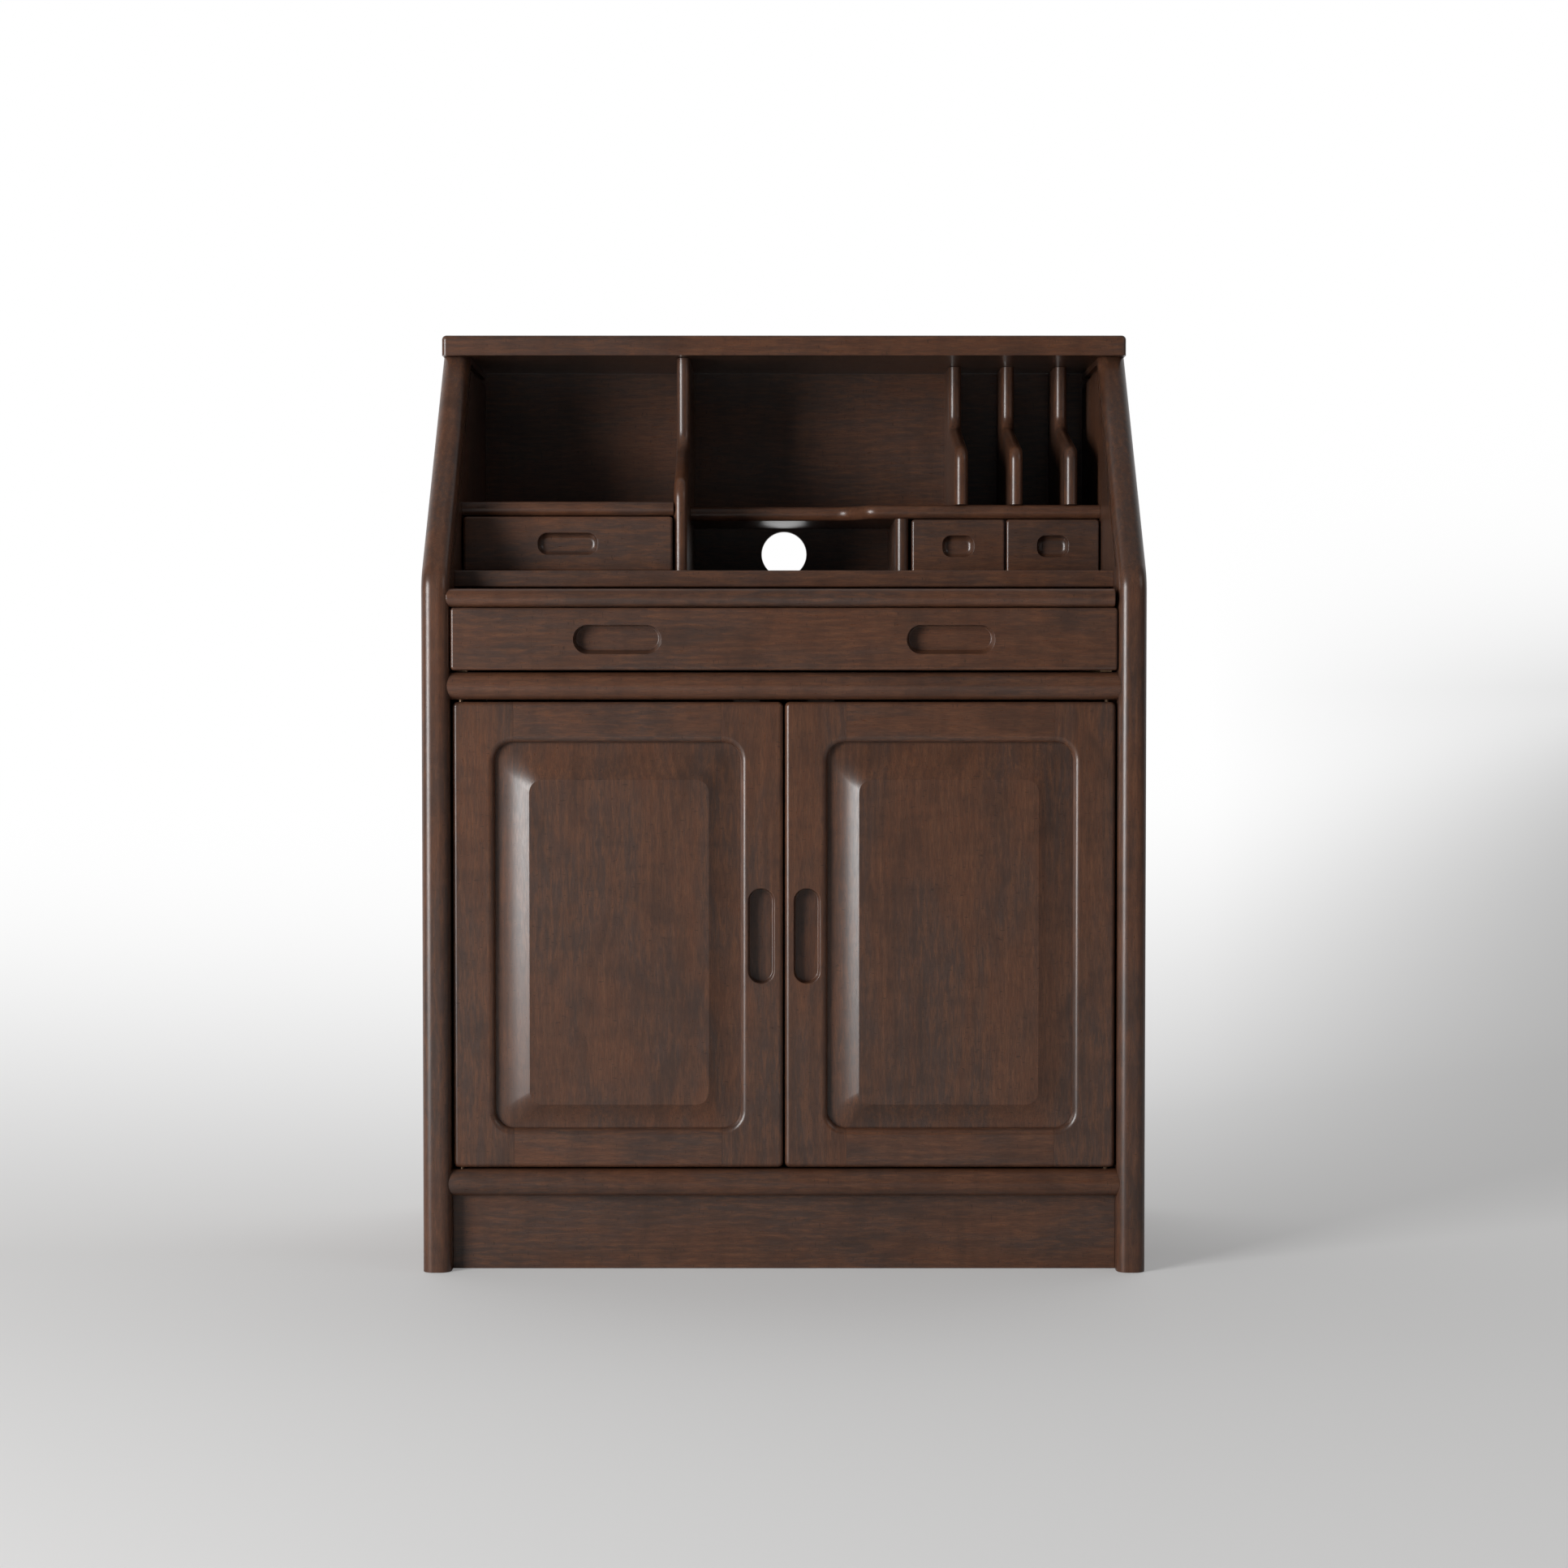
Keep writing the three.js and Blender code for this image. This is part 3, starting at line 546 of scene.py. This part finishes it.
def raised_panel(front_rim, back):
    """A flat field raised in a hollow curve from its rim."""
    grow = 6.0
    stations = 20
    margin = 0.4
    outer = {"x0": OPENING["x0"] + margin, "x1": OPENING["x1"] - margin,
             "z0": OPENING["z0"] + margin, "z1": OPENING["z1"] - margin,
             "corner": OPENING["corner"] - margin}
    rings = [opening_ring(back, grow), opening_ring(front_rim, grow)]
    for i in range(stations + 1):
        t = i / stations
        mix = {key: outer[key] + (FIELD[key] - outer[key]) * t for key in outer}
        limits = (mix["x0"], mix["x1"], mix["z0"], mix["z1"])
        level = front_rim - (front_rim - FIELD["front"]) * t ** 2
        rings.append((level, rectangle(limits, mix["corner"])))
    return stack(rings, from_front)


def mirror(bm):
    for vert in bm.verts:
        vert.co.x = -vert.co.x
    bmesh.ops.reverse_faces(bm, faces=bm.faces)
    return tidy(bm)


def door(hand):
    side = "left" if hand < 0 else "right"
    body = f"{side}_door"
    x0, _, front, back, z0, z1 = extent("right_door_meeting_stile")
    x1 = extent("right_door_hinge_stile")[1]
    limits = (x0, x1, z0, z1)
    seam0 = OPENING["x0"] + STILE_SEAM
    seam1 = OPENING["x1"] - STILE_SEAM
    middle = (z0 + z1) / 2
    rail = [(0, seam0 + SEAM, True), (0, seam1 - SEAM, False)]
    parts = {
        "meeting_stile": ([(0, seam0 - SEAM, False)], "z", "walnut_upright"),
        "hinge_stile": ([(0, seam1 + SEAM, True)], "z", "walnut_upright"),
        "top_rail": (rail + [(2, middle, True)], "x", "walnut_crosswise"),
        "bottom_rail": (rail + [(2, middle, False)], "x", "walnut_crosswise"),
    }
    for part, (cuts, along, slot) in parts.items():
        bm = door_frame(limits, front, back)
        for axis, limit, keep_above in cuts:
            trim(bm, axis, limit, keep_above)
        if part == "meeting_stile":
            bm = subtract(bm, [pull(face=front, **DOOR_PULL)])
        if hand < 0:
            mirror(bm)
        show(f"{side}_door_{part}", bm, along, body)
    panel = raised_panel(PANEL_RIM, extent("right_door_panel")[3])
    if hand < 0:
        mirror(panel)
    show(f"{side}_door_panel", panel, "z", body, sharp=14.0)


# Timber and fittings ---------------------------------------------------------------------------

RELIEF = 0.0002  # depth of a full-strength bump, in metres


class Nodes:
    """Short hand for building a node tree."""

    def __init__(self, tree):
        self.tree = tree

    def add(self, kind, inputs=None, **settings):
        node = self.tree.nodes.new(kind)
        for key, value in settings.items():
            setattr(node, key, value)
        for key, value in (inputs or {}).items():
            self.put(node.inputs[key], value)
        return node

    def put(self, socket, value):
        if isinstance(value, bpy.types.NodeSocket):
            self.tree.links.new(value, socket)
        else:
            socket.default_value = value

    def math(self, operation, first, second=0.0):
        node = self.add("ShaderNodeMath", operation=operation)
        self.put(node.inputs[0], first)
        self.put(node.inputs[1], second)
        return node.outputs[0]

    def noise(self, vector, scale, detail=3.0, roughness=0.5, distortion=0.0):
        node = self.add("ShaderNodeTexNoise", {
            "Vector": vector, "Scale": scale, "Detail": detail, "Roughness": roughness,
            "Distortion": distortion})
        return node.outputs["Fac"]

    def stretch(self, vector, scale):
        return self.add("ShaderNodeMapping", {"Vector": vector, "Scale": scale}).outputs[0]

    def spread(self, value, low, high, to_low=0.0, to_high=1.0):
        node = self.add("ShaderNodeMapRange", {
            "Value": value, "From Min": low, "From Max": high, "To Min": to_low,
            "To Max": to_high}, interpolation_type="SMOOTHSTEP")
        return node.outputs["Result"]

    def share(self, value, low, high, most):
        """None up to low, growing to most at high."""
        return self.math("MULTIPLY", self.spread(value, low, high), most)

    def mix(self, amount, first, second):
        node = self.add("ShaderNodeMix", data_type="RGBA")
        self.put(node.inputs["Factor"], amount)
        self.put(node.inputs["A"], first)
        self.put(node.inputs["B"], second)
        return node.outputs["Result"]

    def bump(self, height, strength):
        node = self.add("ShaderNodeBump", {
            "Height": height, "Strength": strength, "Distance": RELIEF})
        return node.outputs["Normal"]


def new_material(name):
    material = bpy.data.materials.new(name)
    material.use_nodes = True
    material.node_tree.nodes.clear()
    nodes = Nodes(material.node_tree)
    shader = nodes.add("ShaderNodeBsdfPrincipled")
    output = nodes.add("ShaderNodeOutputMaterial")
    nodes.put(output.inputs["Surface"], shader.outputs[0])
    MATERIALS[name] = material
    return nodes, shader


# Repeats per metre along and across the grain, then detail, roughness and distortion.
FIGURE = {
    "cloud": (4.0, 15.0, 4.0, 0.6, 0.6),
    "patch": (9.0, 26.0, 3.0, 0.55, 0.9),
    "curl": (55.0, 16.0, 2.0, 0.5, 0.4),
    "bend": (2.6, 9.0, 2.0, 0.5, 0.0),
    "fibre": (75.0, 900.0, 4.0, 0.7, 0.0),
    "streak": (34.0, 230.0, 5.0, 0.7, 0.5),
    "pores": (90.0, 1100.0, 2.0, 0.5, 0.0),
    "pins": (620.0, 150.0, 1.0, 0.4, 0.0),
}
RING_CENTRE = 0.13  # how far behind the surface the growth rings have their middle
RING_WANDER = 0.055
RING_COUNT = 900.0
COAT_ROUGHNESS = 0.22
LACQUER_IOR = 1.47


def growth_rings(nodes, grain, bend):
    """Bands of wandering growth rings, from 0 to 1."""
    split = nodes.add("ShaderNodeSeparateXYZ", {"Vector": grain})
    across = nodes.math("ADD", split.outputs["Y"], nodes.math("MULTIPLY", bend, RING_WANDER))
    deep = nodes.math("ADD", split.outputs["Z"], RING_CENTRE)
    radius = nodes.math("SQRT", nodes.math(
        "ADD", nodes.math("MULTIPLY", across, across), nodes.math("MULTIPLY", deep, deep)))
    ring = nodes.math("SINE", nodes.math("MULTIPLY", radius, RING_COUNT))
    return nodes.spread(ring, -1.0, 1.0)


def timber(name, light, warm, cool, pore, roughness, coat, turn=None):
    """Stained timber: growth-ring bands, cloudy colour, fine fibres and short dark pores."""
    nodes, shader = new_material(name)
    if turn is None:
        grain = nodes.add("ShaderNodeAttribute", attribute_name="grain").outputs["Vector"]
    else:
        place = nodes.add("ShaderNodeTexCoord").outputs["Object"]
        grain = nodes.add("ShaderNodeMapping", {"Vector": place, "Rotation": turn}).outputs[0]
    figure = {}
    for part, (along, across, detail, rough, distortion) in FIGURE.items():
        stretched = nodes.stretch(grain, (along, across, across))
        figure[part] = nodes.noise(stretched, 1.0, detail, rough, distortion)
    bend, fibre = figure["bend"], figure["fibre"]

    colour = nodes.mix(nodes.spread(figure["cloud"], 0.4, 0.62), warm, cool)
    colour = nodes.mix(nodes.share(figure["streak"], 0.42, 0.62, 0.7), colour, light)
    dots = nodes.math("MAXIMUM", nodes.share(figure["pores"], 0.62, 0.74, 0.5),
                      nodes.share(figure["pins"], 0.7, 0.76, 0.7))
    banded = nodes.math("MULTIPLY", growth_rings(nodes, grain, bend),
                        nodes.spread(bend, 0.35, 0.7, 0.06, 0.26))
    for amount in (nodes.share(figure["patch"], 0.46, 0.72, 0.42), banded,
                   nodes.share(figure["curl"], 0.42, 0.68, 0.22),
                   nodes.share(fibre, 0.42, 0.62, 0.42), dots):
        colour = nodes.mix(amount, colour, pore)
    nodes.put(shader.inputs["Base Color"], colour)
    rough = nodes.spread(fibre, 0.3, 0.7, roughness - 0.04, roughness + 0.06)
    nodes.put(shader.inputs["Roughness"], rough)
    relief = nodes.math("SUBTRACT", nodes.math("MULTIPLY", fibre, 0.5), dots)
    nodes.put(shader.inputs["Normal"], nodes.bump(relief, 0.04))
    shader.inputs["Coat Weight"].default_value = coat
    shader.inputs["Coat Roughness"].default_value = COAT_ROUGHNESS
    shader.inputs["IOR"].default_value = LACQUER_IOR


BRUSHING = (300.0, 300.0, 3000.0)


def brushed_metal(name, colour, roughness):
    nodes, shader = new_material(name)
    place = nodes.add("ShaderNodeTexCoord").outputs["Object"]
    lines = nodes.noise(nodes.stretch(place, BRUSHING), 1.0, 3.0, 0.6)
    tone = nodes.noise(place, 60.0, 2.0)
    dark = [channel * 0.72 for channel in colour[:3]] + [1.0]
    shade = nodes.mix(nodes.spread(tone, 0.3, 0.7), colour, dark)
    nodes.put(shader.inputs["Base Color"], shade)
    nodes.put(shader.inputs["Roughness"],
              nodes.spread(lines, 0.3, 0.7, roughness - 0.06, roughness + 0.1))
    nodes.put(shader.inputs["Normal"], nodes.bump(lines, 0.1))
    shader.inputs["Metallic"].default_value = 1.0


def moulded_plastic(name, colour):
    nodes, shader = new_material(name)
    place = nodes.add("ShaderNodeTexCoord").outputs["Object"]
    speckle = nodes.noise(place, 1800.0, 3.0, 0.6)
    dark = [channel * 0.8 for channel in colour[:3]] + [1.0]
    shade = nodes.mix(nodes.spread(speckle, 0.3, 0.7), colour, dark)
    nodes.put(shader.inputs["Base Color"], shade)
    nodes.put(shader.inputs["Roughness"], nodes.spread(speckle, 0.3, 0.7, 0.45, 0.6))
    nodes.put(shader.inputs["Normal"], nodes.bump(speckle, 0.15))


TIMBERS = {
    "walnut": {
        "light": (0.143, 0.061, 0.031, 1), "warm": (0.109, 0.0435, 0.0225, 1),
        "cool": (0.069, 0.0395, 0.030, 1), "pore": (0.034, 0.0185, 0.0132, 1),
        "roughness": 0.31, "coat": 0.2},
    "carcass_timber": {
        "light": (0.10, 0.055, 0.036, 1), "warm": (0.075, 0.037, 0.023, 1),
        "cool": (0.06, 0.037, 0.03, 1), "pore": (0.034, 0.02, 0.016, 1),
        "roughness": 0.5, "coat": 0.1, "turn": (0, 0, 0)},
    "drawer_timber": {
        "light": (0.42, 0.27, 0.15, 1), "warm": (0.34, 0.2, 0.1, 1),
        "cool": (0.3, 0.19, 0.115, 1), "pore": (0.2, 0.115, 0.06, 1),
        "roughness": 0.5, "coat": 0.1, "turn": (0, 0, math.pi / 2)},
}
METALS = {
    "brass": {"colour": (0.66, 0.46, 0.19, 1), "roughness": 0.3},
    "bronze": {"colour": (0.085, 0.055, 0.035, 1), "roughness": 0.42},
    "steel": {"colour": (0.55, 0.56, 0.58, 1), "roughness": 0.32},
}


def make_materials():
    for name, look in TIMBERS.items():
        timber(name, **look)
    for name, look in METALS.items():
        brushed_metal(name, **look)
    moulded_plastic("catch_plastic", (0.045, 0.028, 0.02, 1))


PLAIN_NODES = {
    "carcass_timber": ["drawer_deck", "cabinet_floor", "left_drawer_kicker", "right_drawer_kicker",
                       "rear_plinth_board", "middle_bearer", "lower_back_panel", "cabinet_shelf",
                       "drawer_partition"],
    "drawer_timber": ["left_drawer_tray", "middle_drawer_tray", "right_drawer_tray",
                      "left_wide_drawer_side", "right_wide_drawer_side", "wide_drawer_back",
                      "wide_drawer_bottom"],
    "brass": ["left_shelf_pin_front", "left_shelf_pin_rear", "right_shelf_pin_front",
              "right_shelf_pin_rear"],
    "bronze": ["left_door_pivot_lower", "left_door_pivot_upper", "right_door_pivot_lower",
               "right_door_pivot_upper"],
    "steel": ["left_strike_plate", "right_strike_plate"],
    "catch_plastic": ["left_door_catch", "right_door_catch"],
}


def dress_plain_nodes():
    for material, names in PLAIN_NODES.items():
        for name in names:
            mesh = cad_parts[name].data
            mesh.materials.clear()
            mesh.materials.append(MATERIALS[material])


# Studio ----------------------------------------------------------------------------------------

# Azimuth 0 is in front of the desk, negative is to the left; metres, degrees and watts.
KEY_PANEL = {"azimuth": -45, "elevation": 8, "distance": 4.2, "width": 1.65, "height": 2.2,
             "power": 168}
FILL_PANEL = {"azimuth": 55, "elevation": 25, "distance": 4.0, "width": 1.6, "height": 1.6,
              "power": 8}
AIM = Vector((0.0, 0.0, 0.55))
WHITE = (1, 1, 1, 1)
FLOOR_PAINT = (0.62, 0.615, 0.61, 1)
FLOOR_LIFT = 0.19
STATION = 3.42  # how far in front of the middle the photograph is taken


def area_light(name, azimuth, elevation, distance, width, height, power):
    """A soft panel aimed at the desk."""
    data = bpy.data.lights.new(name, "AREA")
    data.shape = "RECTANGLE"
    data.size = width
    data.size_y = height
    data.energy = power
    lamp = bpy.data.objects.new(name, data)
    a, e = math.radians(azimuth), math.radians(elevation)
    direction = Vector((math.sin(a) * math.cos(e), -math.cos(a) * math.cos(e), math.sin(e)))
    lamp.location = AIM + direction * distance
    lamp.rotation_euler = direction.to_track_quat("Z", "Y").to_euler()
    bpy.context.scene.collection.objects.link(lamp)


def painted_right_shade(nodes, ratio):
    """How much painted shade darkens the white horizon towards the right."""
    slope = nodes.math("MULTIPLY", nodes.math("SUBTRACT", ratio, 0.14), 1.8)
    return nodes.math("MINIMUM", nodes.math("MAXIMUM", slope, 0.0), 0.35)


def add_world(scene):
    """White surroundings behind the desk, a dim room in front of it and a soft ceiling; the white
    seen by the camera carries painted shade towards the right.
    """
    world = bpy.data.worlds.new("studio")
    scene.world = world
    world.use_nodes = True
    world.node_tree.nodes.clear()
    nodes = Nodes(world.node_tree)
    way = nodes.add("ShaderNodeTexCoord").outputs["Generated"]
    x, y, z = nodes.add("ShaderNodeSeparateXYZ", {"Vector": way}).outputs
    ahead = nodes.math("MAXIMUM", y, 0.05)
    rise = nodes.math("MAXIMUM", nodes.math("DIVIDE", z, ahead), 0.0)
    # painted shade: to the camera the white backdrop darkens towards the right, most near the
    # horizon
    side = nodes.math("MULTIPLY", painted_right_shade(nodes, nodes.math("DIVIDE", x, ahead)),
                      nodes.spread(y, 0.3, 0.9))
    fall = nodes.math("ADD", nodes.math("MULTIPLY", rise, 400.0), 25.0)
    thin = nodes.math("EXPONENT", nodes.math("MULTIPLY", nodes.math("MULTIPLY", rise, fall), -1.0))
    shown = nodes.math("SUBTRACT", 1.0, nodes.math("MULTIPLY", side, thin))
    behind = nodes.spread(y, -0.05, 0.55, 0.0, 0.75)
    ceiling = nodes.spread(z, -0.1, 0.9, 0.015, 0.17)
    lit = nodes.math("MAXIMUM", behind, ceiling)
    seen = nodes.add("ShaderNodeLightPath").outputs["Is Camera Ray"]
    strength = nodes.add("ShaderNodeMix", data_type="FLOAT", inputs={0: seen, 2: lit, 3: shown})
    back = nodes.add("ShaderNodeBackground", {"Color": WHITE, "Strength": strength.outputs[0]})
    output = nodes.add("ShaderNodeOutputWorld")
    nodes.put(output.inputs["Surface"], back.outputs[0])


def floor_fade(nodes, x, y, ratio, aside):
    """How much of the paint shows: less into the distance, most slowly towards the right."""
    grown = nodes.math("EXPONENT", nodes.math(
        "SUBTRACT", nodes.math("MULTIPLY", ratio, 18.0), 2.04))
    haze = nodes.math("ADD", nodes.math("MINIMUM", grown, 60.0), 1.8)
    depth = nodes.math("MAXIMUM", nodes.math("ADD", y, 0.1), 0.0)
    fade = nodes.math("EXPONENT", nodes.math(
        "MULTIPLY", nodes.math("DIVIDE", depth, haze), -1.0))
    before = nodes.spread(nodes.math("MULTIPLY", y, -1.0), 1.5, 2.5)
    away = nodes.math("SQRT", nodes.math(
        "ADD", nodes.math("MULTIPLY", x, x), nodes.math("MULTIPLY", y, y)))
    beyond = nodes.math("MULTIPLY", nodes.math("MAXIMUM", aside, before),
                        nodes.spread(away, 1.5, 5.5))
    seen = nodes.add("ShaderNodeLightPath").outputs["Is Camera Ray"]
    kept = nodes.math("SUBTRACT", 1.0, nodes.math("MULTIPLY", beyond, seen))
    return nodes.math("MULTIPLY", fade, kept), seen


def add_floor(scene):
    """A pale studio floor that whitens into the distance, its white glow carrying painted shade
    towards the right.
    """
    bm = bmesh.new()
    bmesh.ops.create_grid(bm, x_segments=8, y_segments=8, size=60.0)
    mesh = bpy.data.meshes.new("studio_floor")
    bm.to_mesh(mesh)
    bm.free()
    floor = bpy.data.objects.new("studio_floor", mesh)
    floor.location = (0.0, 0.0, CAD_BOX[0][2] - 0.0005)
    scene.collection.objects.link(floor)
    material = bpy.data.materials.new("studio_floor")
    material.use_nodes = True
    material.node_tree.nodes.clear()
    nodes = Nodes(material.node_tree)
    place = nodes.add("ShaderNodeTexCoord").outputs["Object"]
    x, y, _ = nodes.add("ShaderNodeSeparateXYZ", {"Vector": place}).outputs
    reach = nodes.math("MAXIMUM", nodes.math("ADD", y, STATION), 0.5)
    ratio = nodes.math("DIVIDE", x, reach)
    aside = nodes.spread(nodes.math("ABSOLUTE", ratio), 0.3, 0.8)
    fade, seen = floor_fade(nodes, x, y, ratio, aside)
    paint = nodes.add("ShaderNodeBsdfDiffuse", {"Color": FLOOR_PAINT})
    # painted shade: the floor's white glow darkens towards the right
    dim = nodes.math("MULTIPLY", painted_right_shade(nodes, ratio), nodes.math("SUBTRACT", 1.0, aside))
    glow = nodes.add("ShaderNodeEmission", {
        "Color": WHITE, "Strength": nodes.math("SUBTRACT", 1.0, dim)})
    cover = nodes.add("ShaderNodeMixShader", {0: fade, 1: glow.outputs[0], 2: paint.outputs[0]})
    lift = nodes.add("ShaderNodeEmission", {
        "Color": WHITE, "Strength": nodes.math(
            "MULTIPLY", nodes.math("MULTIPLY", seen, fade), FLOOR_LIFT)})
    total = nodes.add("ShaderNodeAddShader", {0: cover.outputs[0], 1: lift.outputs[0]})
    output = nodes.add("ShaderNodeOutputMaterial")
    nodes.put(output.inputs["Surface"], total.outputs[0])
    mesh.materials.append(material)


def studio():
    scene = bpy.context.scene
    scene.view_settings.view_transform = "Standard"
    scene.view_settings.look = "None"
    add_world(scene)
    area_light("key_panel", **KEY_PANEL)
    area_light("fill_panel", **FILL_PANEL)
    add_floor(scene)


add_camera()
make_materials()
dress_plain_nodes()
side_panel(-1)
side_panel(1)
top_board()
front_rails()
plain_boards()
back_panel()
pigeonholes()
drawers()
writing_slide()
door(-1)
door(1)
studio()

bpy.context.view_layer.update()
